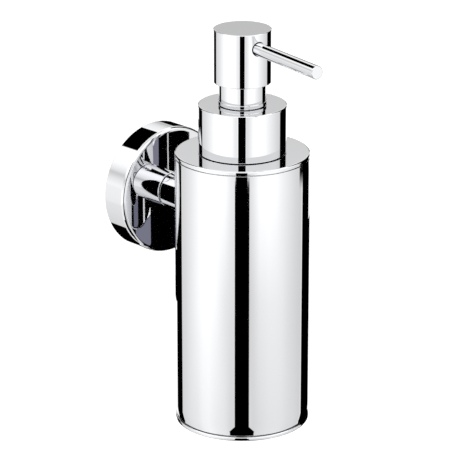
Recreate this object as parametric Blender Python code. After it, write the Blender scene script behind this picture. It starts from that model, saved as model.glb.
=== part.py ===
"""Wall mounted soap dispenser: a chromed container with a push pump, held on an arm and a rosette.

The wall is the plane y = 0 and the object stands out towards -Y. The origin is the centre of the wall
plate's back face, on the axis of the arm. Heights along the container are measured from the origin.
Turned pieces are profiles of (radius, height) corners, spun about their own axis.
"""

import math

import bmesh
import bpy
from mathutils import Matrix

MM = 0.001

# ---- Driving dimensions --------------------------------------------------------------------------
GAP = 0.3 * MM                      # clearance between two pieces that touch
BODY_RADIUS = 27.5 * MM
BODY_TOP = 27.0 * MM                # the lid's flat face, above the arm's axis
BODY_HEIGHT = 116.0 * MM
ARM_RADIUS = 7.5 * MM
ARM_REACH = 15.5 * MM               # clear length of arm between rosette and container
ROSETTE_RADIUS = 27.0 * MM
ROSETTE_DEPTH = 12.0 * MM
COLLAR_RADIUS = 18.0 * MM
COLLAR_HEIGHT = 20.0 * MM
SLEEVE_RADIUS = 9.5 * MM
SLEEVE_SHOWN = 9.4 * MM             # sleeve left bare between collar and head at rest
HEAD_RADIUS = 11.7 * MM
HEAD_HEIGHT = 22.0 * MM
SPOUT_RADIUS = 2.7 * MM
SPOUT_REACH = 52.0 * MM             # spout tip from the container's axis
SPOUT_BELOW_TOP = 6.0 * MM
SPOUT_TURN = math.radians(9.5)      # the head's rest position, turned from straight out
STEM_RADIUS = 3.5 * MM
HOUSING_RADIUS = 8.0 * MM
NECK_RADIUS = 13.2 * MM
BOTTLE_RADIUS = 23.0 * MM

# ---- Levels and walls that follow from them ------------------------------------------------------
AXIS_Y = -(ROSETTE_DEPTH + ARM_REACH + BODY_RADIUS)
BODY_BOTTOM = BODY_TOP - BODY_HEIGHT
LID_RIM = 1.6 * MM
BASE_RIM = 1.6 * MM
TUBE_TOP = BODY_TOP - LID_RIM - GAP
TUBE_BOTTOM = BODY_BOTTOM + BASE_RIM + GAP
TUBE_WALL = 1.2 * MM
TUBE_BORE = BODY_RADIUS - TUBE_WALL
COLLAR_BOTTOM = BODY_TOP + GAP
COLLAR_TOP = BODY_TOP + COLLAR_HEIGHT
COLLAR_WALL = 1.1 * MM
HEAD_BOTTOM = COLLAR_TOP + SLEEVE_SHOWN
HEAD_TOP = HEAD_BOTTOM + HEAD_HEIGHT
HEAD_BORE = 10.2 * MM
HEAD_ROOF = 1.4 * MM
SPOUT_Z = HEAD_TOP - SPOUT_BELOW_TOP
SPOUT_BORE = 1.9 * MM
CYLINDER_BORE = HOUSING_RADIUS - TUBE_WALL
CYLINDER_FLOOR = -6.0 * MM
VALVE_SEAT_Z = -14.5 * MM
VALVE_HOLE_RADIUS = 1.5 * MM
VALVE_FLOOR = 1.5 * MM             # wall between the valve's seat and the suction tube's socket
BALL_RADIUS = 2.3 * MM
DIP_TUBE_RADIUS = 2.5 * MM
NECK_TOP = BODY_TOP + 14.0 * MM
GASKET_THICKNESS = 1.0 * MM
FLANGE_THICKNESS = 1.4 * MM
FLANGE_BOTTOM = NECK_TOP + GAP + GASKET_THICKNESS + GAP
FLANGE_TOP = FLANGE_BOTTOM + FLANGE_THICKNESS
PLATE_RADIUS = 24.4 * MM
GROOVE_Y = -4.0 * MM                # the grub screw's height off the wall
GROOVE_DEPTH = 1.5 * MM
SCREW_RADIUS = 2.5 * MM
BOLT_RADIUS = 3.0 * MM

# ---- Smoothness ----------------------------------------------------------------------------------
LARGE_STEPS = 40
MEDIUM_STEPS = 24
SMALL_STEPS = 16
SAME_POINT = 0.001 * MM

# ---- Colours: base colour, metallic, roughness ---------------------------------------------------
CHROME = ((0.80, 0.81, 0.82), 1.0, 0.06)
STEEL = ((0.55, 0.55, 0.54), 1.0, 0.30)
WHITE_PLASTIC = ((0.83, 0.83, 0.80), 0.0, 0.45)
CLEAR_PLASTIC = ((0.88, 0.90, 0.90), 0.0, 0.30)
BLACK_RUBBER = ((0.03, 0.03, 0.03), 0.0, 0.75)

ALONG_Z = Matrix.Identity(4)
OUT_OF_WALL = Matrix.Rotation(math.radians(90), 4, "X")     # local +Z points along -Y
INTO_ARM = Matrix.Rotation(math.radians(-90), 4, "X")       # local +Z points along +Y


def clear_scene():
    for obj in list(bpy.data.objects):
        bpy.data.objects.remove(obj, do_unlink=True)


def axis_empty(name, matrix, parent=None):
    """An empty that marks an axis; its pieces are modelled about its origin."""
    empty = bpy.data.objects.new(name, None)
    empty.empty_display_size = 10 * MM
    bpy.context.scene.collection.objects.link(empty)
    empty.parent = parent
    empty.matrix_local = matrix
    return empty


def finish_material(name, look):
    colour, metallic, roughness = look
    material = bpy.data.materials.new(name)
    material.use_nodes = True
    shader = material.node_tree.nodes["Principled BSDF"]
    shader.inputs["Base Color"].default_value = (*colour, 1.0)
    shader.inputs["Metallic"].default_value = metallic
    shader.inputs["Roughness"].default_value = roughness
    material.diffuse_color = (*colour, 1.0)
    return material


def add_object(name, mesh, look, parent, turn=ALONG_Z):
    obj = bpy.data.objects.new(name, mesh)
    bpy.context.scene.collection.objects.link(obj)
    obj.parent = parent
    obj.matrix_local = turn
    obj.data.materials.append(finish_material(name, look))
    return obj


def turned_mesh(name, profile, steps):
    """Spins a closed outline of (radius, height) corners, given in order, about the local Z axis."""
    mesh = bpy.data.meshes.new(name)
    work = bmesh.new()
    corners = [work.verts.new((radius, 0.0, height)) for radius, height in profile]
    edges = [work.edges.new(pair) for pair in zip(corners, corners[1:] + corners[:1])]
    bmesh.ops.spin(work, geom=corners + edges, cent=(0, 0, 0), axis=(0, 0, 1),
                   angle=math.tau, steps=steps, use_merge=True)
    bmesh.ops.remove_doubles(work, verts=work.verts, dist=SAME_POINT)
    on_axis = [edge for edge in work.edges
               if all(math.hypot(v.co.x, v.co.y) < SAME_POINT for v in edge.verts)]
    bmesh.ops.delete(work, geom=on_axis, context="EDGES")
    bmesh.ops.recalc_face_normals(work, faces=work.faces)
    if work.calc_volume(signed=True) < 0:
        bmesh.ops.reverse_faces(work, faces=work.faces)
    work.to_mesh(mesh)
    work.free()
    mesh.shade_smooth()
    mesh.set_sharp_from_angle(angle=math.radians(35))
    return mesh


def turned(name, profile, look, parent, steps=MEDIUM_STEPS, turn=ALONG_Z):
    return add_object(name, turned_mesh(name, profile, steps), look, parent, turn)


def ring_profile(inner, outer, low, high):
    return [(outer, high), (outer, low), (inner, low), (inner, high)]


def rod_profile(radius, low, high):
    return ring_profile(0.0, radius, low, high)


def fillet(centre_r, centre_z, radius, start, end, count=4):
    """Corners of a round edge, from angle start to end in degrees about its centre."""
    angles = [math.radians(start + (end - start) * i / count) for i in range(count + 1)]
    return [(centre_r + radius * math.cos(a), centre_z + radius * math.sin(a)) for a in angles]


def cut(obj, name, mesh, matrix):
    """Cuts a hole with a hidden, closed cutter, placed in world space."""
    cutter = bpy.data.objects.new(name, mesh)
    bpy.context.scene.collection.objects.link(cutter)
    cutter.matrix_world = matrix
    cutter.hide_render = True
    cutter.display_type = "WIRE"
    boolean = obj.modifiers.new(name, "BOOLEAN")
    boolean.operation = "DIFFERENCE"
    boolean.solver = "EXACT"
    boolean.object = cutter


def hole(obj, name, radius, low, high, matrix, steps=SMALL_STEPS):
    cut(obj, name, turned_mesh(name, rod_profile(radius, low, high), steps), matrix)


def hex_socket(obj, name, across, depth, matrix):
    """A hexagonal recess whose mouth is at the matrix's origin, going down its local Z."""
    radius = across / math.sqrt(3)
    cut(obj, name, turned_mesh(name, rod_profile(radius, -depth, depth), 6), matrix)


# ---- Wall fixing ---------------------------------------------------------------------------------
# These pieces are turned about the arm's axis: their height is the distance from the wall.

PLATE_FLOOR = 2.5 * MM
PLATE_RIM = 7.0 * MM
PLATE_WALL = 3.4 * MM
WALL_SCREW_OFFSET = 14.0 * MM
WALL_SCREW_HOLE_RADIUS = 3.2 * MM


def wall_plate(parent):
    rim_bore = PLATE_RADIUS - PLATE_WALL
    groove = -GROOVE_Y
    profile = [
        (PLATE_RADIUS, PLATE_RIM), (PLATE_RADIUS, groove + GROOVE_DEPTH),
        (PLATE_RADIUS - GROOVE_DEPTH, groove), (PLATE_RADIUS, groove - GROOVE_DEPTH),
        (PLATE_RADIUS, 0.0), (0.0, 0.0), (0.0, PLATE_FLOOR), (rim_bore, PLATE_FLOOR), (rim_bore, PLATE_RIM),
    ]
    plate = turned("wall_plate", profile, STEEL, parent, LARGE_STEPS, OUT_OF_WALL)
    for side in (-1, 1):
        place = Matrix.Translation((side * WALL_SCREW_OFFSET, 0, 0)) @ OUT_OF_WALL
        hole(plate, f"wall_screw_hole_cutter_{side}", WALL_SCREW_HOLE_RADIUS, -PLATE_FLOOR, 2 * PLATE_FLOOR,
             place)


ROSETTE_WALL = 2.2 * MM
ROSETTE_FACE = 2.4 * MM
ROSETTE_EDGE = 1.6 * MM
GRUB_RADIUS = 2.0 * MM
GRUB_LENGTH = 3.2 * MM
GRUB_SOCKET_ACROSS = 2.0 * MM
GRUB_SOCKET_DEPTH = 1.6 * MM


def rosette(parent):
    bore = ROSETTE_RADIUS - ROSETTE_WALL
    hole_radius = BOLT_RADIUS + GAP
    profile = [(hole_radius, ROSETTE_DEPTH)]
    profile += fillet(ROSETTE_RADIUS - ROSETTE_EDGE, ROSETTE_DEPTH - ROSETTE_EDGE, ROSETTE_EDGE, 90, 0)
    profile += [(ROSETTE_RADIUS, GAP), (bore, GAP), (bore, ROSETTE_DEPTH - ROSETTE_FACE),
                (hole_radius, ROSETTE_DEPTH - ROSETTE_FACE)]
    cup = turned("rosette", profile, CHROME, parent, LARGE_STEPS, OUT_OF_WALL)
    hole(cup, "grub_hole_cutter", GRUB_RADIUS + GAP, -1.5 * ROSETTE_RADIUS, -0.75 * ROSETTE_RADIUS,
         Matrix.Translation((0, GROOVE_Y, 0)))


def rosette_grub_screw(parent):
    tip_radius = 0.8 * MM
    tip = -(PLATE_RADIUS - GROOVE_DEPTH + tip_radius + 1.5 * GAP)
    cone = GRUB_RADIUS - tip_radius
    profile = [(0.0, tip), (tip_radius, tip), (GRUB_RADIUS, tip - cone),
               (GRUB_RADIUS, tip - GRUB_LENGTH), (0.0, tip - GRUB_LENGTH)]
    place = Matrix.Translation((0, GROOVE_Y, 0))
    screw = turned("rosette_grub_screw", profile, STEEL, parent, SMALL_STEPS, place)
    hex_socket(screw, "grub_socket_cutter", GRUB_SOCKET_ACROSS, GRUB_SOCKET_DEPTH,
               Matrix.Translation((0, GROOVE_Y, tip - GRUB_LENGTH)))


ARM_CHAMFER = 0.4 * MM
ARM_THREAD_DEPTH = 5.8 * MM
ARM_BOLT_SOCKET_ACROSS = 4.0 * MM
ARM_BOLT_SOCKET_DEPTH = 2.2 * MM


def arm(parent):
    """A round bar: its outer end is coped to the container, and both ends are bored for a screw."""
    start = ROSETTE_DEPTH + GAP
    stop = -AXIS_Y
    profile = [(0.0, start), (0.0, stop), (ARM_RADIUS, stop), (ARM_RADIUS, start + ARM_CHAMFER),
               (ARM_RADIUS - ARM_CHAMFER, start)]
    bar = turned("arm", profile, CHROME, parent, MEDIUM_STEPS, OUT_OF_WALL)
    hole(bar, "arm_cope_cutter", BODY_RADIUS + GAP, -2 * ARM_RADIUS, 2 * ARM_RADIUS,
         Matrix.Translation((0, AXIS_Y, 0)), LARGE_STEPS)
    hole(bar, "arm_bolt_hole_cutter", BOLT_RADIUS + GAP, 0.0, start + ARM_THREAD_DEPTH, OUT_OF_WALL)
    hole(bar, "container_bolt_hole_cutter", SCREW_RADIUS + GAP,
         -AXIS_Y - BODY_RADIUS - ARM_THREAD_DEPTH, stop, OUT_OF_WALL)


WASHER_THICKNESS = 0.8 * MM


def screw_profile(shank, length, head, head_height, edge):
    """A screw along local Z: the head's bearing face is at height 0 and the shank points up."""
    return [(0.0, length), (shank - edge, length), (shank, length - edge), (shank, 0.0), (head, 0.0),
            (head, edge - head_height), (head - edge, -head_height), (0.0, -head_height)]


def arm_bolt(parent):
    face = ROSETTE_DEPTH - ROSETTE_FACE
    head_radius = 5.2 * MM
    head_height = 3.4 * MM
    edge = 0.5 * MM
    bearing = face - 2 * GAP - WASHER_THICKNESS
    length = ROSETTE_DEPTH + ARM_THREAD_DEPTH - bearing - GAP
    place = OUT_OF_WALL @ Matrix.Translation((0, 0, bearing))
    bolt = turned("arm_bolt", screw_profile(BOLT_RADIUS, length, head_radius, head_height, edge),
                  STEEL, parent, SMALL_STEPS, place)
    hex_socket(bolt, "arm_bolt_socket_cutter", ARM_BOLT_SOCKET_ACROSS, ARM_BOLT_SOCKET_DEPTH,
               place @ Matrix.Translation((0, 0, -head_height)))


def arm_lock_washer(parent):
    top = ROSETTE_DEPTH - ROSETTE_FACE - GAP
    outer = 5.5 * MM
    profile = ring_profile(BOLT_RADIUS + GAP, outer, top - WASHER_THICKNESS, top)
    turned("arm_lock_washer", profile, STEEL, parent, SMALL_STEPS, OUT_OF_WALL)


# The container's screw is turned about the arm's axis too: its height is the distance from the
# container's axis, towards the wall.

LOW_HEAD_RADIUS = 4.2 * MM
LOW_WASHER_RADIUS = 4.4 * MM
LOW_HEAD_HEIGHT = 1.1 * MM
LOW_WASHER_THICKNESS = 0.5 * MM
LOW_WASHER_STANDOFF = 0.7 * MM      # its flat face clears the round wall behind it
LOW_WASHER_TOP = TUBE_BORE - LOW_WASHER_STANDOFF
LOW_SOCKET_ACROSS = 3.0 * MM
LOW_SOCKET_DEPTH = 1.8 * MM


def container_bolt(parent):
    bearing = LOW_WASHER_TOP - LOW_WASHER_THICKNESS - GAP
    length = BODY_RADIUS + ARM_THREAD_DEPTH - bearing - GAP
    place = INTO_ARM @ Matrix.Translation((0, 0, bearing))
    profile = screw_profile(SCREW_RADIUS, length, LOW_HEAD_RADIUS, LOW_HEAD_HEIGHT, GAP)
    bolt = turned("container_bolt", profile, STEEL, parent, SMALL_STEPS, place)
    hex_socket(bolt, "container_bolt_socket_cutter", LOW_SOCKET_ACROSS, LOW_SOCKET_DEPTH,
               Matrix.Translation((0, AXIS_Y, 0)) @ place @ Matrix.Translation((0, 0, -LOW_HEAD_HEIGHT)))


def container_bolt_washer(parent):
    profile = ring_profile(SCREW_RADIUS + GAP, LOW_WASHER_RADIUS, LOW_WASHER_TOP - LOW_WASHER_THICKNESS,
                           LOW_WASHER_TOP)
    turned("container_bolt_washer", profile, STEEL, parent, SMALL_STEPS, INTO_ARM)


# ---- Container -----------------------------------------------------------------------------------

LID_BEVEL = 1.3 * MM
LID_HOLE_CLEARANCE = 1.0 * MM
LID_HOLE = NECK_RADIUS + LID_HOLE_CLEARANCE
SKIRT_RADIUS = TUBE_BORE - GAP
BASE_RING_PROUD = 0.2 * MM
TUBE_FOOT_ROUND = 1.0 * MM


def container_tube(parent):
    profile = [(BODY_RADIUS, TUBE_TOP)]
    profile += fillet(BODY_RADIUS - TUBE_FOOT_ROUND, TUBE_BOTTOM + TUBE_FOOT_ROUND, TUBE_FOOT_ROUND, 0, -90)
    profile += [(TUBE_BORE, TUBE_BOTTOM), (TUBE_BORE, TUBE_TOP)]
    tube = turned("container_tube", profile, CHROME, parent, LARGE_STEPS)
    hole(tube, "tube_bolt_hole_cutter", SCREW_RADIUS + GAP, BODY_RADIUS / 2, 1.5 * BODY_RADIUS,
         Matrix.Translation((0, AXIS_Y, 0)) @ INTO_ARM)


def container_lid(parent):
    seam = BODY_TOP - LID_RIM
    skirt_wall = 1.1 * MM
    skirt_depth = 4.0 * MM
    skirt_bore = SKIRT_RADIUS - skirt_wall
    skirt_low = seam - skirt_depth
    profile = [(LID_HOLE, BODY_TOP)]
    profile += fillet(BODY_RADIUS - LID_BEVEL, BODY_TOP - LID_BEVEL, LID_BEVEL, 90, 0)
    profile += [(BODY_RADIUS, seam), (SKIRT_RADIUS, seam), (SKIRT_RADIUS, skirt_low),
                (skirt_bore, skirt_low), (skirt_bore, seam), (LID_HOLE, seam)]
    turned("container_lid", profile, CHROME, parent, LARGE_STEPS)


PLUG_WALL = 2.4 * MM
PLUG_TOP = BODY_BOTTOM + 7.5 * MM
PLUG_FLOOR = BODY_BOTTOM + 2.1 * MM
O_RING_Z = BODY_BOTTOM + 4.7 * MM
O_RING_SECTION = 0.5 * MM
BASE_EDGE = 0.5 * MM


def base_cap(parent):
    rim = BODY_RADIUS + BASE_RING_PROUD
    seam = BODY_BOTTOM + BASE_RIM
    groove_radius = SKIRT_RADIUS - 2 * O_RING_SECTION - GAP
    groove_half = O_RING_SECTION + GAP
    plug_bore = SKIRT_RADIUS - PLUG_WALL
    profile = [(0.0, PLUG_FLOOR), (plug_bore, PLUG_FLOOR), (plug_bore, PLUG_TOP), (SKIRT_RADIUS, PLUG_TOP),
               (SKIRT_RADIUS, O_RING_Z + groove_half),
               (groove_radius, O_RING_Z + groove_half), (groove_radius, O_RING_Z - groove_half),
               (SKIRT_RADIUS, O_RING_Z - groove_half), (SKIRT_RADIUS, seam), (rim - BASE_EDGE, seam)]
    profile += fillet(rim - BASE_EDGE, seam - BASE_EDGE, BASE_EDGE, 90, 0, 2)[1:]
    profile += fillet(rim - BASE_EDGE, BODY_BOTTOM + BASE_EDGE, BASE_EDGE, 0, -90, 2)
    profile += [(0.0, BODY_BOTTOM)]
    turned("base_cap", profile, CHROME, parent, LARGE_STEPS)


def base_o_ring(parent):
    profile = fillet(SKIRT_RADIUS - O_RING_SECTION, O_RING_Z, O_RING_SECTION, 0, 315, 7)
    turned("base_o_ring", profile, BLACK_RUBBER, parent, LARGE_STEPS)


BOTTLE_WALL = 1.0 * MM
NECK_BORE = 11.2 * MM
BOTTLE_FLOOR = PLUG_FLOOR + GAP


def inner_bottle(parent):
    """A round bottle with a sloped shoulder and a straight neck that comes up through the lid."""
    below_lid = 0.6 * MM
    slope = 6.5 * MM
    shoulder = BODY_TOP - LID_RIM - below_lid
    slope_foot = shoulder - slope
    round_radius = 1.2 * MM
    floor_top = BOTTLE_FLOOR + BOTTLE_WALL
    profile = [(NECK_RADIUS, NECK_TOP), (NECK_RADIUS, shoulder), (BOTTLE_RADIUS, slope_foot)]
    profile += fillet(BOTTLE_RADIUS - round_radius, BOTTLE_FLOOR + round_radius, round_radius, 0, -90)
    bore = BOTTLE_RADIUS - BOTTLE_WALL
    profile += [(0.0, BOTTLE_FLOOR), (0.0, floor_top), (bore - round_radius, floor_top),
                (bore, floor_top + round_radius), (bore, slope_foot - BOTTLE_WALL),
                (NECK_BORE, shoulder - BOTTLE_WALL), (NECK_BORE, NECK_TOP)]
    turned("inner_bottle", profile, CLEAR_PLASTIC, parent, LARGE_STEPS)


# ---- Pump, fixed pieces --------------------------------------------------------------------------

COVER_HOLE = 9.0 * MM
CLOSURE_THICKNESS = 1.3 * MM


def neck_gasket(parent):
    low = NECK_TOP + GAP
    bore = HOUSING_RADIUS + 1.5 * MM
    profile = ring_profile(bore, NECK_RADIUS - GAP, low, low + GASKET_THICKNESS)
    turned("neck_gasket", profile, BLACK_RUBBER, parent)


def pump_housing(parent):
    """The cylinder hangs from its flange; below its floor are the ball chamber and the tube's socket."""
    floor_wall = 2.0 * MM
    chamber_radius = 3.0 * MM
    seat_top = VALVE_SEAT_Z + chamber_radius - VALVE_HOLE_RADIUS
    socket_top = VALVE_SEAT_Z - VALVE_FLOOR
    socket_depth = 8.0 * MM
    socket_bottom = socket_top - socket_depth
    nose_wall = 2.0 * MM
    nose_radius = DIP_TUBE_RADIUS + nose_wall
    profile = [
        (NECK_RADIUS - GAP, FLANGE_TOP), (NECK_RADIUS - GAP, FLANGE_BOTTOM), (HOUSING_RADIUS, FLANGE_BOTTOM),
        (HOUSING_RADIUS, CYLINDER_FLOOR - floor_wall), (nose_radius, CYLINDER_FLOOR - 2 * floor_wall),
        (nose_radius, socket_bottom), (DIP_TUBE_RADIUS + GAP, socket_bottom),
        (DIP_TUBE_RADIUS + GAP, socket_top), (VALVE_HOLE_RADIUS, socket_top),
        (VALVE_HOLE_RADIUS, VALVE_SEAT_Z), (chamber_radius, seat_top), (chamber_radius, CYLINDER_FLOOR),
        (CYLINDER_BORE, CYLINDER_FLOOR), (CYLINDER_BORE, FLANGE_TOP),
    ]
    turned("pump_housing", profile, WHITE_PLASTIC, parent)


def stem_guide(parent):
    """A bush: its plug closes the cylinder, its flange lies in the closure and its top guides the stem."""
    flange_low = FLANGE_TOP + GAP
    flange_high = flange_low + CLOSURE_THICKNESS
    plug_depth = 6.0 * MM
    above_collar = 5.5 * MM
    inside_sleeve = 1.5 * MM
    plug_low = flange_low - plug_depth
    guide_top = COLLAR_TOP + above_collar
    guide_radius = SLEEVE_RADIUS - inside_sleeve
    bore = STEM_RADIUS + GAP
    profile = [(guide_radius, guide_top), (guide_radius, flange_high),
               (COVER_HOLE - GAP, flange_high), (COVER_HOLE - GAP, flange_low),
               (CYLINDER_BORE - GAP, flange_low), (CYLINDER_BORE - GAP, plug_low), (bore, plug_low),
               (bore, guide_top)]
    turned("stem_guide", profile, WHITE_PLASTIC, parent)


FOOT_RING_HEIGHT = 1.4 * MM
FOOT_RING_PROUD = 0.35 * MM


def guide_sleeve(parent):
    """The bare sleeve that the head slides down over, with a foot ring on the collar."""
    wall = 1.2 * MM
    inside_head = 1.9 * MM
    bore = SLEEVE_RADIUS - wall
    foot = COLLAR_TOP + GAP
    sleeve_top = HEAD_BOTTOM + inside_head
    spigot_low = foot - GAP - COLLAR_WALL
    profile = [(SLEEVE_RADIUS, sleeve_top), (SLEEVE_RADIUS, foot + FOOT_RING_HEIGHT),
               (SLEEVE_RADIUS + FOOT_RING_PROUD, foot + FOOT_RING_HEIGHT),
               (SLEEVE_RADIUS + FOOT_RING_PROUD, foot), (COVER_HOLE - GAP, foot),
               (COVER_HOLE - GAP, spigot_low), (bore, spigot_low), (bore, sleeve_top)]
    turned("guide_sleeve", profile, CHROME, parent)


COLLAR_EDGE = 0.5 * MM


def collar(parent):
    bore = COLLAR_RADIUS - COLLAR_WALL
    roof = COLLAR_TOP - COLLAR_WALL
    profile = [(COVER_HOLE, COLLAR_TOP), (COLLAR_RADIUS - COLLAR_EDGE, COLLAR_TOP),
               (COLLAR_RADIUS, COLLAR_TOP - COLLAR_EDGE), (COLLAR_RADIUS, COLLAR_BOTTOM),
               (bore, COLLAR_BOTTOM), (bore, roof), (COVER_HOLE, roof)]
    turned("collar", profile, CHROME, parent, LARGE_STEPS)


def pump_closure(parent):
    """The screw cap: its roof holds the housing's flange down on the gasket."""
    outer = COLLAR_RADIUS - COLLAR_WALL - GAP
    thread_clearance = 0.5 * MM
    foot_clearance = 1.0 * MM
    bore = NECK_RADIUS + thread_clearance
    roof_low = FLANGE_TOP + GAP
    roof_high = roof_low + CLOSURE_THICKNESS
    low = COLLAR_BOTTOM + foot_clearance
    profile = [(COVER_HOLE, roof_high), (outer, roof_high), (outer, low), (bore, low), (bore, roof_low),
               (COVER_HOLE, roof_low)]
    turned("pump_closure", profile, WHITE_PLASTIC, parent)


# ---- Pump, moving pieces -------------------------------------------------------------------------

PISTON_LOW = 16.5 * MM
PISTON_HEIGHT = 9.5 * MM
PISTON_FLOOR = 1.8 * MM
STEM_BORE = 1.8 * MM
STEM_BELOW_TOP = 9.4 * MM
STEM_TOP = HEAD_TOP - STEM_BELOW_TOP


def piston(parent):
    """Two sealing lips and a waist, with a socket for the stem."""
    lip = CYLINDER_BORE - GAP
    waist_depth = 1.0 * MM
    lip_height = 1.6 * MM
    waist = lip - waist_depth
    high = PISTON_LOW + PISTON_HEIGHT
    socket = STEM_RADIUS + GAP
    floor = PISTON_LOW + PISTON_FLOOR
    profile = [(lip, high), (lip, high - lip_height), (waist, high - 2 * lip_height),
               (waist, PISTON_LOW + 2 * lip_height), (lip, PISTON_LOW + lip_height), (lip, PISTON_LOW),
               (STEM_BORE, PISTON_LOW), (STEM_BORE, floor), (socket, floor), (socket, high)]
    turned("piston", profile, WHITE_PLASTIC, parent)


def stem(parent):
    low = PISTON_LOW + PISTON_FLOOR + GAP
    turned("stem", ring_profile(STEM_BORE, STEM_RADIUS, low, STEM_TOP), WHITE_PLASTIC, parent, SMALL_STEPS)


SPRING_TURNS = 8
SPRING_RADIUS = 4.8 * MM
SPRING_WIRE = 0.5 * MM
SPRING_POINTS_A_TURN = 14


def return_spring(parent):
    """A compression coil between the cylinder's floor and the piston."""
    low = CYLINDER_FLOOR + GAP + SPRING_WIRE
    high = PISTON_LOW - GAP - SPRING_WIRE
    count = SPRING_TURNS * SPRING_POINTS_A_TURN
    curve = bpy.data.curves.new("return_spring", "CURVE")
    curve.dimensions = "3D"
    curve.bevel_depth = SPRING_WIRE
    curve.bevel_resolution = 1
    curve.use_fill_caps = True
    coil = curve.splines.new("POLY")
    coil.points.add(count)
    for i, point in enumerate(coil.points):
        angle = math.tau * i / SPRING_POINTS_A_TURN
        point.co = (SPRING_RADIUS * math.cos(angle), SPRING_RADIUS * math.sin(angle),
                    low + (high - low) * i / count, 1.0)
    add_object("return_spring", curve, STEEL, parent)


def inlet_ball(parent):
    """A ball that rests on the 45 degree seat, so its centre is a diagonal above the seat's apex."""
    apex = VALVE_SEAT_Z - VALVE_HOLE_RADIUS
    mesh = bpy.data.meshes.new("inlet_ball")
    work = bmesh.new()
    bmesh.ops.create_uvsphere(work, u_segments=SMALL_STEPS, v_segments=SMALL_STEPS // 2, radius=BALL_RADIUS)
    work.to_mesh(mesh)
    work.free()
    mesh.shade_smooth()
    centre = apex + (BALL_RADIUS + GAP) * math.sqrt(2)
    add_object("inlet_ball", mesh, STEEL, parent, Matrix.Translation((0, 0, centre)))


def dip_tube(parent):
    wall = 0.8 * MM
    clear_of_floor = 3.5 * MM
    low = BOTTLE_FLOOR + BOTTLE_WALL + clear_of_floor
    top = VALVE_SEAT_Z - VALVE_FLOOR - GAP
    turned("dip_tube", ring_profile(DIP_TUBE_RADIUS - wall, DIP_TUBE_RADIUS, low, top), CLEAR_PLASTIC, parent,
           SMALL_STEPS)


# ---- Head ----------------------------------------------------------------------------------------
# The spout runs along the head axis' local +X.

HEAD_EDGE = 0.4 * MM
CORE_RADIUS = HEAD_BORE - GAP
CORE_TOP = HEAD_TOP - HEAD_ROOF - GAP
CORE_HEIGHT = 9.0 * MM
CORE_LOW = CORE_TOP - CORE_HEIGHT
CORE_BOSS_WALL = 2.5 * MM
CORE_BOSS_RADIUS = STEM_RADIUS + CORE_BOSS_WALL
CORE_BOSS_LENGTH = 5.7 * MM
CORE_BOSS_LOW = CORE_LOW - CORE_BOSS_LENGTH
SPOUT_ROOT = 4.3 * MM
SPOUT_WALL_END = 1.2 * MM
OUTLET_RADIUS = 1.3 * MM
OUTLET_FROM_TIP = 3.6 * MM
OUTLET_REACH = SPOUT_REACH - OUTLET_FROM_TIP


def spout_direction():
    """Local +Z along the spout, from the container's axis at the spout's height."""
    return Matrix.Translation((0, 0, SPOUT_Z)) @ Matrix.Rotation(math.radians(90), 4, "Y")


def head_shell(parent):
    profile = [(0.0, HEAD_TOP), (HEAD_RADIUS - HEAD_EDGE, HEAD_TOP), (HEAD_RADIUS, HEAD_TOP - HEAD_EDGE),
               (HEAD_RADIUS, HEAD_BOTTOM), (HEAD_BORE, HEAD_BOTTOM), (HEAD_BORE, HEAD_TOP - HEAD_ROOF),
               (0.0, HEAD_TOP - HEAD_ROOF)]
    shell = turned("head_shell", profile, CHROME, parent, LARGE_STEPS)
    hole(shell, "shell_spout_cutter", SPOUT_RADIUS + GAP, HEAD_RADIUS / 2, 2 * HEAD_RADIUS,
         parent.matrix_world @ spout_direction())


def head_core(parent):
    """The insert: a socket for the stem below, and a passage across it to the spout."""
    socket = STEM_RADIUS + GAP
    socket_top = STEM_TOP + GAP
    profile = [(0.0, CORE_TOP), (CORE_RADIUS, CORE_TOP), (CORE_RADIUS, CORE_LOW),
               (CORE_BOSS_RADIUS, CORE_LOW), (CORE_BOSS_RADIUS, CORE_BOSS_LOW),
               (socket, CORE_BOSS_LOW), (socket, socket_top),
               (STEM_BORE, socket_top), (STEM_BORE, SPOUT_Z), (0.0, SPOUT_Z)]
    core = turned("head_core", profile, WHITE_PLASTIC, parent)
    across = parent.matrix_world @ spout_direction()
    hole(core, "core_passage_cutter", SPOUT_BORE - GAP, 0.0, 2 * SPOUT_ROOT, across)
    hole(core, "core_spout_cutter", SPOUT_RADIUS + GAP, SPOUT_ROOT - GAP, 2 * HEAD_RADIUS, across)


def spout_tube(parent):
    edge = 0.3 * MM
    end = SPOUT_REACH - SPOUT_WALL_END
    profile = [(0.0, SPOUT_REACH), (0.0, end), (SPOUT_BORE, end), (SPOUT_BORE, SPOUT_ROOT),
               (SPOUT_RADIUS, SPOUT_ROOT), (SPOUT_RADIUS, SPOUT_REACH - edge),
               (SPOUT_RADIUS - edge, SPOUT_REACH)]
    spout = turned("spout_tube", profile, CHROME, parent, SMALL_STEPS, spout_direction())
    below = Matrix.Translation((OUTLET_REACH, 0, SPOUT_Z))
    hole(spout, "outlet_cutter", OUTLET_RADIUS, -2 * SPOUT_RADIUS, 0.0, parent.matrix_world @ below)


def spout_liner(parent):
    wall = 0.7 * MM
    outer = SPOUT_BORE - GAP
    profile = ring_profile(outer - wall, outer, SPOUT_ROOT + GAP, OUTLET_REACH - OUTLET_RADIUS - GAP)
    turned("spout_liner", profile, CLEAR_PLASTIC, parent, SMALL_STEPS, spout_direction())


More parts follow.
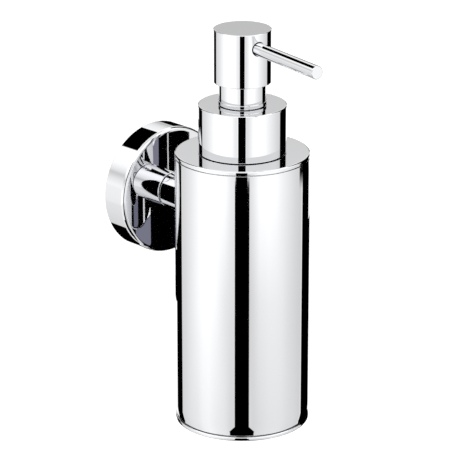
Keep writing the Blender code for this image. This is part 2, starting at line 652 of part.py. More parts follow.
def build():
    clear_scene()
    wall_axis = axis_empty("arm_axis", Matrix.Identity(4))
    container_axis = axis_empty("container_axis", Matrix.Translation((0, AXIS_Y, 0)))
    spout_heading = Matrix.Rotation(math.radians(-90) - SPOUT_TURN, 4, "Z")
    head_axis = axis_empty("head_axis", spout_heading, container_axis)
    bpy.context.view_layer.update()
    for piece in (wall_plate, rosette, rosette_grub_screw, arm, arm_bolt, arm_lock_washer):
        piece(wall_axis)
    for piece in (container_bolt, container_bolt_washer, container_tube, container_lid, base_cap, base_o_ring,
                  inner_bottle, neck_gasket, pump_housing, stem_guide, guide_sleeve, collar, pump_closure,
                  piston, stem, return_spring, inlet_ball, dip_tube):
        piece(container_axis)
    for piece in (head_shell, head_core, spout_tube, spout_liner):
        piece(head_axis)


build()
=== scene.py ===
"""Looks of the wall mounted soap dispenser: finely turned pieces, their finishes, and a soft white studio.

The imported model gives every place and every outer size. Each piece here is made again and stands for its
CAD node. All but the spring are turned from a rounded outline about that node's axis, so that the mirror
finish is smooth.
"""

import math

import bpy
from mathutils import Matrix, Vector


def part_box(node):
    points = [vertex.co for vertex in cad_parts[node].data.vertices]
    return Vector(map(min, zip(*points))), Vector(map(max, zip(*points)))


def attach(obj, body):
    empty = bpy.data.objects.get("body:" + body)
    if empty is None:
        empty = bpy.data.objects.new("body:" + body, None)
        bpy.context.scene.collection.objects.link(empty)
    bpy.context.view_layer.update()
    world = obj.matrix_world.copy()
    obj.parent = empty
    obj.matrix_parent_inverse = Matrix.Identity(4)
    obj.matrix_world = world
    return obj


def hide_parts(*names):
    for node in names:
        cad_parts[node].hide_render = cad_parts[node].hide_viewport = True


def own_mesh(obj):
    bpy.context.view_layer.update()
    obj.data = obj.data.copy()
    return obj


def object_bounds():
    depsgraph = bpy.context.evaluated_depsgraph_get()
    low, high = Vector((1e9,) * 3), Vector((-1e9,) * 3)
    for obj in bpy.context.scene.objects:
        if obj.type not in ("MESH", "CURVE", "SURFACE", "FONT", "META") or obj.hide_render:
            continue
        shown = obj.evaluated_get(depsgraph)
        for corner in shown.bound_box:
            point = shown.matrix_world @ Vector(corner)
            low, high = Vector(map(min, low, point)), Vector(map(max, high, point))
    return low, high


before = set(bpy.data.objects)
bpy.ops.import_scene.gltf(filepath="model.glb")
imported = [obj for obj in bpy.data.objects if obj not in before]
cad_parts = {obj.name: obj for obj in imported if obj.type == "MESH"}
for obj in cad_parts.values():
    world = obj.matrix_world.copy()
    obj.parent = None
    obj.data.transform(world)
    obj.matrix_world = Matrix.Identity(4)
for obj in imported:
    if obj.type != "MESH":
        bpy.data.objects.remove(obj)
cad_low, cad_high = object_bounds()

MM = 0.001
FINE, MEDIUM, COARSE = 256, 128, 96  # steps round a large, a middling and a small piece
EDGE = 0.12 * MM  # the small round on an edge that is given no other
HOLD = 0.05 * MM  # width of the strip that keeps a flat face flat beside a round
SMALLEST_STRIP = 0.3 * MM  # a straight run shorter than this gets no such strips
INSIDE, OUTSIDE = 0.8, 1.2  # shares of a radius; a drill between them goes through that wall
SHARP = math.radians(32)  # a mesh edge that bends more than this is shaded as an edge
FINE_ARC, COARSE_ARC = math.radians(9), math.radians(30)  # turn between points on a round
SIDE_SHARE = 0.45  # the most that a round may take of each side of its corner

# ---- Walls and details that a node's outer box doesn't give ----
GAP = 0.3 * MM
SHEET_WALL = 1.2 * MM
SCREW_SHANK = 2.5 * MM
BOLT_SHANK = 3.0 * MM
STEM_BORE = 1.8 * MM
THREAD_PITCH = 3.0 * MM
THREAD_HEIGHT = 0.32 * MM
ON_WALL = 0.01 * MM  # a point this close to a wall's radius lies on that wall

# ---- Camera ----
CAMERA_AZIMUTH = math.radians(-42.83)
CAMERA_ELEVATION = math.radians(19.45)
CAMERA_DISTANCE = 1.09825
CAMERA_LENS = 210.05
SENSOR = 36.0
AIM_LEFT = 4.99 * MM  # the camera aims this far left of the container's axis
AIM_DOWN = 6.9 * MM  # and this far below the arm's axis


# ==== Shapes ====

def rounded_corner(before, corner, after, radius):
    """The arc that rounds a corner of an outline, as points, with its radius cut back to what fits."""
    at = Vector(corner)
    to_before = Vector(before) - at
    to_after = Vector(after) - at
    half = to_before.angle(to_after) / 2
    longest = SIDE_SHARE * min(to_before.length, to_after.length)
    reach = min(radius / math.tan(half), longest)
    radius = reach * math.tan(half)
    bisector = (to_before.normalized() + to_after.normalized()).normalized()
    centre = at + bisector * (radius / math.sin(half))
    start = at + to_before.normalized() * reach - centre
    turn = (at + to_after.normalized() * reach - centre).angle_signed(start)
    count = max(2, round(abs(turn) / (COARSE_ARC if radius < 2 * EDGE else FINE_ARC)))
    arc = []
    for i in range(count + 1):
        a = turn * i / count
        arc.append((centre.x + start.x * math.cos(a) - start.y * math.sin(a),
                    centre.y + start.x * math.sin(a) + start.y * math.cos(a)))
    return arc


def rounded_outline(corners, closed):
    """Points of an outline given as (radius, height) or (radius, height, rounding) corners."""
    stretches = []
    for i, (radius, height, *rounding) in enumerate(corners):
        on_end = not closed and i in (0, len(corners) - 1)
        size = rounding[0] if rounding else EDGE
        if on_end or size == 0:
            stretches.append([(radius, height)])
            continue
        before = corners[i - 1][:2]
        after = corners[(i + 1) % len(corners)][:2]
        stretches.append(rounded_corner(before, (radius, height), after, size))
    points = []
    for i, stretch in enumerate(stretches):
        points += stretch
        if i == len(stretches) - 1 and not closed:
            break
        start = Vector(stretch[-1])
        end = Vector(stretches[(i + 1) % len(stretches)][0])
        if (end - start).length > SMALLEST_STRIP:
            along = (end - start).normalized() * HOLD
            points += [tuple(start + along), tuple(end - along)]
    return points


def spun_mesh(name, outline, closed, steps, shape=None):
    """Spins an outline about local Z. shape(radius, height, angle) may move each point in its half plane."""
    on_axis = 1e-7
    doubled_area = sum(a[0] * b[1] - b[0] * a[1] for a, b in zip(outline, outline[1:] + outline[:1]))
    points, rows = [], []
    for radius, height in outline:
        if radius < on_axis:
            rows.append([len(points)] * steps)
            points.append((0.0, 0.0, height))
            continue
        rows.append(list(range(len(points), len(points) + steps)))
        for j in range(steps):
            angle = math.tau * j / steps
            r, z = shape(radius, height, angle) if shape else (radius, height)
            points.append((r * math.cos(angle), r * math.sin(angle), z))
    faces = []
    last = len(rows) if closed else len(rows) - 1
    for i in range(last):
        low, high = rows[i], rows[(i + 1) % len(rows)]
        for j in range(steps):
            k = (j + 1) % steps
            corners = list(dict.fromkeys((low[j], low[k], high[k], high[j])))
            if len(corners) > 2:
                faces.append(corners if doubled_area > 0 else corners[::-1])
    mesh = bpy.data.meshes.new(name)
    mesh.from_pydata(points, [], faces)
    return mesh


def smooth(mesh):
    """Smooth shading that breaks at the sharp edges."""
    mesh.shade_smooth()
    mesh.set_sharp_from_angle(angle=SHARP)


def add_object(name, data, place):
    """Puts an object with this mesh, curve or camera at a place in the shared frame."""
    obj = bpy.data.objects.new(name, data)
    bpy.context.scene.collection.objects.link(obj)
    obj.matrix_world = place
    return obj


def cut(obj, mesh, place):
    """Takes a closed mesh, placed in the shared frame, out of a piece, and makes that its mesh."""
    cutter = add_object(obj.name + "_cutter", mesh, place)
    boolean = obj.modifiers.new("cut", "BOOLEAN")
    boolean.solver = "EXACT"
    boolean.object = cutter
    graph = bpy.context.evaluated_depsgraph_get()
    result = bpy.data.meshes.new_from_object(obj.evaluated_get(graph))
    obj.modifiers.remove(boolean)
    obj.data = result
    bpy.data.objects.remove(cutter)
    smooth(obj.data)


def drill(obj, radius, low, high, place, steps=COARSE):
    outline = [(0.0, low), (radius, low), (radius, high), (0.0, high)]
    cut(obj, spun_mesh("drill", outline, False, steps), place)


def socket(obj, across, depth, mouth):
    """A hexagonal recess that goes down from the mouth, with a chamfered rim and a drilled point."""
    corner = across / math.sqrt(3)
    drilled = 0.85 * corner
    outline = [(0.0, -depth - corner / 3), (drilled, -depth), (corner, -depth), (corner, depth), (0.0, depth)]
    cut(obj, spun_mesh("socket", outline, False, 6), mouth)
    lip = corner + 2 * EDGE
    cut(obj, spun_mesh("lip", [(0.0, -lip), (lip, 0.0), (lip, lip), (0.0, lip)], False, COARSE), mouth)


class Turned:
    """The axis, radius and ends of a round CAD node. Heights run along its axis from the frame's origin."""

    def __init__(self, node, axis="Z"):
        low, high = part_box(node)
        self.radius = (high.x - low.x) / 2
        if axis == "Z":
            self.place = Matrix.Translation(((low.x + high.x) / 2, (low.y + high.y) / 2, 0))
            self.low, self.high = low.z, high.z
        else:
            self.place = Matrix.Rotation(math.radians(90), 4, "X")
            self.low, self.high = -high.y, -low.y


def make(node, body, finish, corners, place, closed=True, steps=FINE, shape=None):
    """Builds one piece from its outline and lets it stand for its CAD node."""
    outline = rounded_outline(corners, closed)
    obj = add_object(node + "_turned", spun_mesh(node, outline, closed, steps, shape), place)
    smooth(obj.data)
    return adopt(obj, node, body, finish)


def adopt(obj, node, body, finish):
    """Gives a piece its finish and its body, and lets it stand for its CAD node."""
    obj.data.materials.append(FINISHES[finish])
    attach(obj, body)
    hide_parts(node)
    return obj


def helix_ridge(pitch, height, low, turns, half_width=0.7 * MM):
    """A shape that raises a rounded thread on a turned wall, fading out at both of its ends."""
    runout, steepness = math.radians(40), 1.5

    def shape(radius, level, angle):
        nearest = round((level - low) / pitch - angle / math.tau)
        off = level - low - (nearest + angle / math.tau) * pitch
        along = nearest * math.tau + angle
        ends = min(along, turns * math.tau - along) / runout
        rise = max(0.0, 1 - (off / half_width) ** 2) * max(0.0, min(1.0, ends))
        return radius + height * rise ** steepness, level
    return shape


# ==== Finishes ====

def add_node(tree, kind, inputs=None, **settings):
    """Adds a shader node; an input may be a value or the socket that feeds it."""
    made = tree.nodes.new(kind)
    for key, value in settings.items():
        setattr(made, key, value)
    for key, value in (inputs or {}).items():
        if isinstance(value, bpy.types.NodeSocket):
            tree.links.new(value, made.inputs[key])
        else:
            made.inputs[key].default_value = value
    return made


def start_finish(name, **sockets):
    """A material with inputs of its shader set; also gives the place on the piece, for its patterns."""
    material = bpy.data.materials.new(name)
    material.use_nodes = True
    tree = material.node_tree
    shader = tree.nodes["Principled BSDF"]
    for key, value in sockets.items():
        shader.inputs[key.replace("_", " ")].default_value = value
    place = add_node(tree, "ShaderNodeTexCoord").outputs["Object"]
    return material, tree, shader, place


def stretched(tree, place, scale):
    """The place scaled along X, Y and Z: a number below 1 draws a pattern out along its axis."""
    return add_node(tree, "ShaderNodeMapping", {"Vector": place, "Scale": scale}).outputs["Vector"]


def speckle(tree, place, scale, detail=3.0, distortion=0.0):
    """Noise from 0 to 1 with the given number of cells a metre."""
    made = add_node(tree, "ShaderNodeTexNoise",
                    {"Vector": place, "Scale": scale, "Detail": detail, "Distortion": distortion})
    return made.outputs["Fac"]


def between(tree, value, low, high, from_low=0.3, from_high=0.7, kind="SMOOTHSTEP"):
    """Runs from low to high while the value goes from from_low to from_high."""
    ranges = {"Value": value, "From Min": from_low, "From Max": from_high, "To Min": low, "To Max": high}
    made = add_node(tree, "ShaderNodeMapRange", ranges, interpolation_type=kind)
    return made.outputs["Result"]


def math_node(tree, operation, *values):
    """The result of a sum on values, each a number or the socket that it comes from."""
    made = tree.nodes.new("ShaderNodeMath")
    made.operation = operation
    for entry, value in zip(made.inputs, values):
        if isinstance(value, bpy.types.NodeSocket):
            tree.links.new(value, entry)
        else:
            entry.default_value = value
    return made.outputs[0]


def mixed(tree, share, first, second):
    """Mixes two colours, each given as numbers or as the socket that it comes from."""
    first_colour, second_colour, result = 6, 7, 2       # numbers of the Mix node's colour sockets
    mix = add_node(tree, "ShaderNodeMix", {"Factor": share}, data_type="RGBA")
    for entry, colour in ((first_colour, first), (second_colour, second)):
        if isinstance(colour, bpy.types.NodeSocket):
            tree.links.new(colour, mix.inputs[entry])
        else:
            mix.inputs[entry].default_value = (*colour, 1.0)
    return mix.outputs[result]


def bump(tree, height, depth, under=None):
    """A bump whose height runs from 0 to depth, in metres, on top of another one."""
    inputs = {"Height": height, "Distance": depth, "Strength": 1.0}
    if under:
        inputs["Normal"] = under
    return add_node(tree, "ShaderNodeBump", inputs).outputs["Normal"]


def chrome_plate():
    """Mirror plating: a slow roll left by polishing, fine grain, faint smears and a few hairlines."""
    material, tree, shader, place = start_finish("chrome_plate_finish", Metallic=1.0)
    link = tree.links.new
    smoothest, roughest, smeared = 0.012, 0.03, 0.022
    roll_height, hairline_height, grain_height = 0.012 * MM, 0.00004 * MM, 0.0006 * MM
    darker, lighter = (0.845, 0.85, 0.865), (0.875, 0.88, 0.89)
    clouds = speckle(tree, place, 42, detail=4.0, distortion=1.4)
    smears = between(tree, clouds, 0.0, 1.0, from_low=0.56, from_high=0.74)
    grain = speckle(tree, place, 700, detail=2.0)
    streaks = speckle(tree, stretched(tree, place, (2600, 2600, 60)), 1.0, detail=1.0)
    hairlines = between(tree, streaks, 0.0, 1.0, from_low=0.74, from_high=0.8)
    rough = math_node(tree, "ADD", between(tree, grain, smoothest, roughest),
                      math_node(tree, "MULTIPLY", smears, smeared))
    link(rough, shader.inputs["Roughness"])
    link(mixed(tree, speckle(tree, place, 24), darker, lighter), shader.inputs["Base Color"])
    roll = bump(tree, speckle(tree, stretched(tree, place, (1.0, 1.0, 0.35)), 60, detail=1.0), roll_height)
    scratched = bump(tree, hairlines, hairline_height, roll)
    link(bump(tree, grain, grain_height, scratched), shader.inputs["Normal"])
    return material


def turned_metal(name, light, dark, smoothest, roughest, groove):
    """Machined steel: fine rings from the lathe, blotches in the colour and scuffs."""
    material, tree, shader, place = start_finish(name, Metallic=1.0)
    link = tree.links.new
    split = add_node(tree, "ShaderNodeSeparateXYZ", {"Vector": place}).outputs
    across = math_node(tree, "SQRT", math_node(tree, "ADD", math_node(tree, "MULTIPLY", split[0], split[0]),
                                               math_node(tree, "MULTIPLY", split[1], split[1])))
    turned_place = add_node(tree, "ShaderNodeCombineXYZ", {"X": across, "Z": split[2]}).outputs[0]
    scuffed = 0.12
    clouds = speckle(tree, place, 620, detail=3.0, distortion=2.0)
    rings = speckle(tree, turned_place, 4200, detail=2.0)
    blotches = speckle(tree, place, 160, detail=4.0, distortion=0.6)
    scuffs = between(tree, clouds, 0.0, 1.0, from_low=0.58, from_high=0.7)
    link(mixed(tree, blotches, light, dark), shader.inputs["Base Color"])
    link(math_node(tree, "ADD", between(tree, rings, smoothest, roughest),
                   math_node(tree, "MULTIPLY", scuffs, scuffed)), shader.inputs["Roughness"])
    link(bump(tree, scuffs, groove / 2, bump(tree, rings, groove)), shader.inputs["Normal"])
    return material


def moulded_plastic(name, light, dark, roughest, **sockets):
    """Injection moulded plastic: an eroded grain, and flow marks in colour, roughness and height."""
    material, tree, shader, place = start_finish(name, **sockets)
    link = tree.links.new
    smoothest, flow_rough = roughest * 0.6, 0.08
    grain_height, flow_height = 0.006 * MM, 0.03 * MM
    flow = speckle(tree, stretched(tree, place, (1.0, 1.0, 0.3)), 110, detail=3.0, distortion=0.8)
    grain = speckle(tree, place, 3800, detail=2.0)
    link(mixed(tree, flow, light, dark), shader.inputs["Base Color"])
    link(math_node(tree, "ADD", between(tree, grain, smoothest, roughest),
                   math_node(tree, "MULTIPLY", flow, flow_rough)), shader.inputs["Roughness"])
    link(bump(tree, grain, grain_height, bump(tree, flow, flow_height)), shader.inputs["Normal"])
    return material


def black_rubber():
    """Soft rubber: a fine grain with a pale bloom in patches."""
    material, tree, shader, place = start_finish("black_rubber_finish", Specular_IOR_Level=0.35)
    link = tree.links.new
    black, bloomed = (0.014, 0.014, 0.015), (0.045, 0.045, 0.044)
    smoothest, roughest, grain_height = 0.48, 0.72, 0.008 * MM
    bloom = speckle(tree, place, 260, detail=4.0, distortion=0.5)
    grain = speckle(tree, place, 5200, detail=2.0)
    link(mixed(tree, bloom, black, bloomed), shader.inputs["Base Color"])
    link(between(tree, bloom, smoothest, roughest), shader.inputs["Roughness"])
    link(bump(tree, grain, grain_height), shader.inputs["Normal"])
    return material


FINISHES = {
    "chrome_plate": chrome_plate(),
    "zinc_steel": turned_metal("zinc_steel_finish", (0.60, 0.61, 0.63), (0.50, 0.49, 0.45),
                               smoothest=0.24, roughest=0.38, groove=0.012 * MM),
    "bright_steel": turned_metal("bright_steel_finish", (0.74, 0.74, 0.74), (0.66, 0.66, 0.65),
                                 smoothest=0.12, roughest=0.24, groove=0.005 * MM),
    "white_plastic": moulded_plastic("white_plastic_finish", (0.86, 0.86, 0.84), (0.80, 0.80, 0.77),
                                     roughest=0.42),
    "clear_plastic": moulded_plastic("clear_plastic_finish", (0.93, 0.95, 0.95), (0.86, 0.89, 0.90),
                                     roughest=0.26, Transmission_Weight=0.7, IOR=1.5),
    "black_rubber": black_rubber(),
}


# ==== Wall fixing ====
# Heights of the pieces on the arm's axis are distances from the wall.

ROSETTE = Turned("rosette", "Y")
ARM = Turned("arm", "Y")
TUBE = Turned("container_tube")
AXIS = TUBE.place.translation
OUT_OF_WALL = ROSETTE.place
INTO_ARM = Matrix.Translation(AXIS) @ Matrix.Rotation(math.radians(-90), 4, "X")


def rosette():
    """A cup over the wall plate, with a hole for the arm's bolt and one for the grub screw below."""
    wall, face, hole = 2.2 * MM, 2.4 * MM, BOLT_SHANK + GAP
    radius, depth, back = ROSETTE.radius, ROSETTE.high, ROSETTE.low
    obj = make("rosette", "container", "chrome_plate", [
        (hole, depth), (radius, depth, 1.6 * MM), (radius, back, 0.25 * MM), (radius - wall, back),
        (radius - wall, depth - face, 0.8 * MM), (hole, depth - face)], OUT_OF_WALL)
    low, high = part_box("rosette_grub_screw")
    below = Matrix.Translation(((low.x + high.x) / 2, (low.y + high.y) / 2, 0))
    drill(obj, (high.x - low.x) / 2 + GAP, -OUTSIDE * radius, -INSIDE * radius, below)


def wall_plate():
    """A shallow dish with a V groove round it for the grub screw, and two countersunk screw holes."""
    plate = Turned("wall_plate", "Y")
    wall, floor, groove_depth = 3.4 * MM, 2.5 * MM, 1.5 * MM
    grub_low, grub_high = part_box("rosette_grub_screw")
    groove = -(grub_low.y + grub_high.y) / 2
    radius, rim = plate.radius, plate.high
    obj = make("wall_plate", "container", "zinc_steel", [
        (0.0, 0.0), (radius, 0.0, 0.3 * MM), (radius, groove - groove_depth),
        (radius - groove_depth, groove), (radius, groove + groove_depth), (radius, rim, 0.5 * MM),
        (radius - wall, rim, 0.3 * MM), (radius - wall, floor, 0.7 * MM), (0.0, floor)],
        OUT_OF_WALL, closed=False)
    offset, hole = 14.0 * MM, 3.2 * MM
    sink = hole + 0.8 * MM
    sink_outline = [(0.0, floor - sink), (2 * sink, floor + sink), (0.0, floor + sink)]
    for side in (-1, 1):
        place = Matrix.Translation((side * offset, 0, 0)) @ OUT_OF_WALL
        drill(obj, hole, -floor, 2 * floor, place)
        cut(obj, spun_mesh("sink", sink_outline, False, COARSE), place)


def arm():
    """Its far end is coped to the container's round wall: every point there follows that cylinder."""
    start, bore_depth = ARM.low, 5.8 * MM
    coping = TUBE.radius + GAP
    distance = -AXIS.y
    stop = distance - coping
    bolt_hole, screw_hole = BOLT_SHANK + GAP, SCREW_SHANK + GAP
    screw_floor = distance - TUBE.radius - bore_depth

    def coped(radius, height, angle):
        if height < stop - 3 * EDGE:
            return radius, height
        return radius, height + coping - math.sqrt(coping ** 2 - (radius * math.cos(angle)) ** 2)

    make("arm", "container", "chrome_plate", [
        (0.0, start + bore_depth), (bolt_hole, start + bore_depth), (bolt_hole, start),
        (ARM.radius, start, 0.45 * MM), (ARM.radius, stop), (screw_hole, stop), (screw_hole, screw_floor),
        (0.0, screw_floor)], OUT_OF_WALL, closed=False, steps=MEDIUM, shape=coped)


def screw(node_name, finish, place, shank, bearing, tip, head, head_low, across, depth, knurl=0.0):
    """A socket screw along local Z with a rolled thread, a chamfered tip and an optional knurl."""
    pitch, thread, half_width = 0.8 * MM, 0.12 * MM, 0.38 * MM
    plain, chamfer, ring_step = 0.6 * MM, 0.5 * MM, 0.1 * MM
    knurls = 36
    on_shank, on_head = 0.8 * shank, 0.9 * head
    thread_low = bearing + plain
    turns = (tip - thread_low - chamfer) / pitch
    ridge = helix_ridge(pitch, thread, thread_low, turns, half_width)

    def shape(radius, height, angle):
        if height > bearing and radius > on_shank:
            return ridge(radius, height, angle)
        if knurl and radius > on_head and head_low < height < bearing:
            return radius - knurl * (0.5 + 0.5 * math.cos(knurls * angle)), height
        return radius, height

    core = shank - thread
    rings = int((tip - bearing) / ring_step)
    wall = [(core, bearing + (tip - bearing - chamfer) * i / rings, 0) for i in range(1, rings + 1)]
    obj = make(node_name, "container", finish, [
        (0.0, head_low), (head, head_low, 0.3 * MM), (head, bearing, 0.1 * MM), (core, bearing)]
        + wall + [(core - chamfer, tip), (0.0, tip)], place, closed=False, steps=COARSE, shape=shape)
    socket(obj, across, depth, place @ Matrix.Translation((0, 0, head_low)))
    return obj


def flat_ring(node_name, body, finish, ring, bore, edge=EDGE):
    """A washer or gasket with a rectangular section."""
    return make(node_name, body, finish, [
        (bore, ring.low, edge), (ring.radius, ring.low, edge), (ring.radius, ring.high, edge),
        (bore, ring.high, edge)], ring.place, steps=MEDIUM)


def wall_fasteners():
    """The arm's bolt with a knurled head, and its split washer."""
    bolt = Turned("arm_bolt", "Y")
    head_height = 3.4 * MM
    screw("arm_bolt", "zinc_steel", OUT_OF_WALL, BOLT_SHANK, bolt.low + head_height, bolt.high, bolt.radius,
          bolt.low, across=4.0 * MM, depth=2.2 * MM, knurl=0.12 * MM)
    washer = Turned("arm_lock_washer", "Y")
    split_ring = flat_ring("arm_lock_washer", "container", "zinc_steel", washer, BOLT_SHANK + GAP)
    half_width, reach, tilt = 0.5 * MM, 4 * MM, math.radians(18)
    outline = [(0.0, -reach), (half_width, -reach), (half_width, reach), (0.0, reach)]
    slot = spun_mesh("slot", outline, False, 4)
    place = OUT_OF_WALL @ Matrix.Translation((0, 0, (washer.low + washer.high) / 2))
    longer, out = 6, 4.6 * MM
    for vertex in slot.vertices:
        vertex.co.x = vertex.co.x * longer + out
    cut(split_ring, slot, place @ Matrix.Rotation(tilt, 4, "X"))


def container_fasteners():
    """The screw and washer inside the container. Their heights are distances from its axis."""
    low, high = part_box("container_bolt")
    head_low, head_height = low.y - AXIS.y, 1.1 * MM
    screw("container_bolt", "bright_steel", INTO_ARM, SCREW_SHANK, head_low + head_height, high.y - AXIS.y,
          (high.x - low.x) / 2, head_low, across=3.0 * MM, depth=1.8 * MM)
    low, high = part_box("container_bolt_washer")
    washer = Turned("container_bolt_washer")
    washer.place, washer.low, washer.high = INTO_ARM, low.y - AXIS.y, high.y - AXIS.y
    flat_ring("container_bolt_washer", "container", "bright_steel", washer, SCREW_SHANK + GAP)


def grub_screw():
    """A headless screw with a cone point, which holds the rosette on the wall plate."""
    grub = Turned("rosette_grub_screw")
    point, chamfer = 0.8 * MM, 0.2 * MM
    pitch, thread, half_width = 0.7 * MM, 0.12 * MM, 0.34 * MM
    run_in, run_out = 0.25 * MM, 0.5 * MM
    core = grub.radius - thread
    shoulder = grub.high - (grub.radius - point)
    rings = 22
    wall_low = grub.low + chamfer
    wall = [(core, wall_low + (shoulder - grub.low - chamfer) * i / rings, 0) for i in range(rings + 1)]
    turns = (shoulder - grub.low - run_out) / pitch
    obj = make("rosette_grub_screw", "container", "zinc_steel",
               [(0.0, grub.low), (core - chamfer, grub.low)] + wall + [(point, grub.high), (0.0, grub.high)],
               grub.place, closed=False, steps=COARSE,
               shape=helix_ridge(pitch, thread, grub.low + run_in, turns, half_width))
    socket(obj, 2.0 * MM, 1.6 * MM, grub.place @ Matrix.Translation((0, 0, grub.low)))


# ==== Container ====

TUBE_BORE = TUBE.radius - SHEET_WALL
SKIRT = TUBE_BORE - GAP  # outer radius of what the lid and the base put into the tube


def container_tube():
    """The sheet metal tube: it narrows a little at its foot, and has a hole for the screw into the arm."""
    foot, foot_height, foot_round = 0.4 * MM, 3.0 * MM, 20.0 * MM
    tube = make("container_tube", "container", "chrome_plate", [
        (TUBE.radius, TUBE.high, 0.2 * MM), (TUBE_BORE, TUBE.high), (TUBE_BORE, TUBE.low),
        (TUBE.radius - foot, TUBE.low, 0.4 * MM), (TUBE.radius, TUBE.low + foot_height, foot_round)],
        TUBE.place)
    drill(tube, SCREW_SHANK + GAP, INSIDE * TUBE.radius, OUTSIDE * TUBE.radius, INTO_ARM)


def container_lid():
    """A disc with a skirt that goes down into the tube, and a mouth for the bottle's neck."""
    lid = Turned("container_lid")
    seam = TUBE.high + GAP
    skirt_bore = SKIRT - 1.1 * MM
    mouth = 14.2 * MM
    make("container_lid", "container", "chrome_plate", [
        (mouth, lid.high, 0.3 * MM), (mouth, seam), (skirt_bore, seam, 0.3 * MM), (skirt_bore, lid.low),
        (SKIRT, lid.low, 0.3 * MM), (SKIRT, seam, 0), (lid.radius, seam, 0.15 * MM),
        (lid.radius, lid.high, 1.15 * MM)], lid.place)


def base_cap():
    """The dished foot, with a plug that goes up into the tube and a groove for its O-ring."""
    base = Turned("base_cap")
    base_seam = TUBE.low - GAP
    ring = Turned("base_o_ring")
    groove_low, groove_high = ring.low - GAP, ring.high + GAP
    groove_bore = SKIRT - (ring.high - ring.low) - GAP
    plug_wall, floor = 2.4 * MM, 2.1 * MM
    dish, dish_edge = 0.25 * MM, 3.0 * MM
    make("base_cap", "container", "chrome_plate", [
        (0.0, base.low + dish), (base.radius - dish_edge - dish, base.low + dish, 0.3 * MM),
        (base.radius - dish_edge, base.low, 0.3 * MM), (base.radius, base.low, 0.55 * MM),
        (base.radius, base_seam, 0.45 * MM), (SKIRT, base_seam), (SKIRT, groove_low),
        (groove_bore, groove_low), (groove_bore, groove_high), (SKIRT, groove_high),
        (SKIRT, base.high, 0.4 * MM), (SKIRT - plug_wall, base.high, 0.4 * MM),
        (SKIRT - plug_wall, base.low + floor, 0.8 * MM), (0.0, base.low + floor)], base.place, closed=False)


def base_o_ring():
    """A ring of round section in the base's groove."""
    ring = Turned("base_o_ring")
    section = (ring.high - ring.low) / 2
    middle_r, middle_z = ring.radius - section, (ring.high + ring.low) / 2
    count = 20
    corners = [(middle_r + section * math.cos(math.tau * i / count),
                middle_z + section * math.sin(math.tau * i / count), 0) for i in range(count)]
    make("base_o_ring", "container", "black_rubber", corners, ring.place)


def inner_bottle():
    """A blown bottle: a sloped shoulder, and a thread on the neck for the screw cap."""
    bottle = Turned("inner_bottle")
    wall, neck, bore, body_round = 1.0 * MM, 13.2 * MM, 11.2 * MM, 1.6 * MM
    shoulder = TUBE.high + GAP - 0.6 * MM
    slope_foot = shoulder - 6.5 * MM
    inner_foot, floor = slope_foot - wall, bottle.low + wall
    thread_low = shoulder + 3.2 * MM
    rings = 60
    neck_low, neck_high = shoulder + 1.0 * MM, bottle.high - 0.6 * MM
    threaded = [(neck, neck_low + (neck_high - neck_low) * i / rings, 0) for i in range(rings + 1)]
    make("inner_bottle", "container", "clear_plastic", [
        (0.0, bottle.low), (bottle.radius, bottle.low, body_round), (bottle.radius, slope_foot, 1.5 * MM),
        (neck, shoulder, 0.6 * MM)] + threaded + [
        (neck, bottle.high, 0.3 * MM), (bore, bottle.high, 0.3 * MM), (bore, shoulder - wall, 0.6 * MM),
        (bottle.radius - wall, inner_foot, 1.5 * MM), (bottle.radius - wall, floor, body_round),
        (0.0, floor)], bottle.place, closed=False, shape=neck_thread(neck, thread_low))


def neck_thread(neck, low):
    """Raises the thread on the neck's wall only."""
    ridge = helix_ridge(THREAD_PITCH, THREAD_HEIGHT, low, turns=2.2)

    def shape(radius, height, angle):
        if abs(radius - neck) < ON_WALL:
            return ridge(radius, height, angle)
        return radius, height
    return shape


# ==== Pump ====

COLLAR = Turned("collar")
SLEEVE = Turned("guide_sleeve")
HEAD = Turned("head_shell")
HOUSING = Turned("pump_housing")
STEM = Turned("stem")
PUMP_PLACE = COLLAR.place


def neck_gasket():
    gasket = Turned("neck_gasket")
    flat_ring("neck_gasket", "seal", "black_rubber", gasket, bore=9.5 * MM, edge=0.25 * MM)


def pump_housing():
    """A flange, the cylinder, the ball's chamber and a narrow nose with a socket for the suction tube."""
    cylinder, bore, flange = 8.0 * MM, 6.8 * MM, 1.4 * MM
    nose, tube_socket, valve_hole, chamber = 4.5 * MM, 2.8 * MM, 1.5 * MM, 3.0 * MM
    shoulder, nose_top, seat, floor = -8.0 * MM, -10.0 * MM, -14.5 * MM, -6.0 * MM
    socket_top = seat - 1.5 * MM
    flange_low = HOUSING.high - flange
    make("pump_housing", "pump", "white_plastic", [
        (HOUSING.radius, HOUSING.high, 0.2 * MM), (bore, HOUSING.high, 0.3 * MM), (bore, floor, 0.3 * MM),
        (chamber, floor, 0.2 * MM), (chamber, seat + chamber - valve_hole), (valve_hole, seat),
        (valve_hole, socket_top), (tube_socket, socket_top), (tube_socket, HOUSING.low, 0.3 * MM),
        (nose, HOUSING.low, 0.5 * MM), (nose, nose_top, 0.8 * MM), (cylinder, shoulder, 0.8 * MM),
        (cylinder, flange_low, 0.8 * MM), (HOUSING.radius, flange_low, 0.2 * MM)], PUMP_PLACE, steps=MEDIUM)


def stem_guide():
    """The flanged bush that closes the pump's cylinder and guides its stem."""
    guide = Turned("stem_guide")
    bore, plug, flange, tower = 3.8 * MM, 6.5 * MM, 1.3 * MM, 8.0 * MM
    flange_low = HOUSING.high + GAP
    make("stem_guide", "pump", "white_plastic", [
        (bore, guide.low, 0.3 * MM), (plug, guide.low, 0.5 * MM), (plug, flange_low),
        (guide.radius, flange_low), (guide.radius, flange_low + flange, 0.2 * MM),
        (tower, flange_low + flange, 0.3 * MM),
        (tower, guide.high, 0.4 * MM), (bore, guide.high, 0.5 * MM)], PUMP_PLACE, steps=MEDIUM)


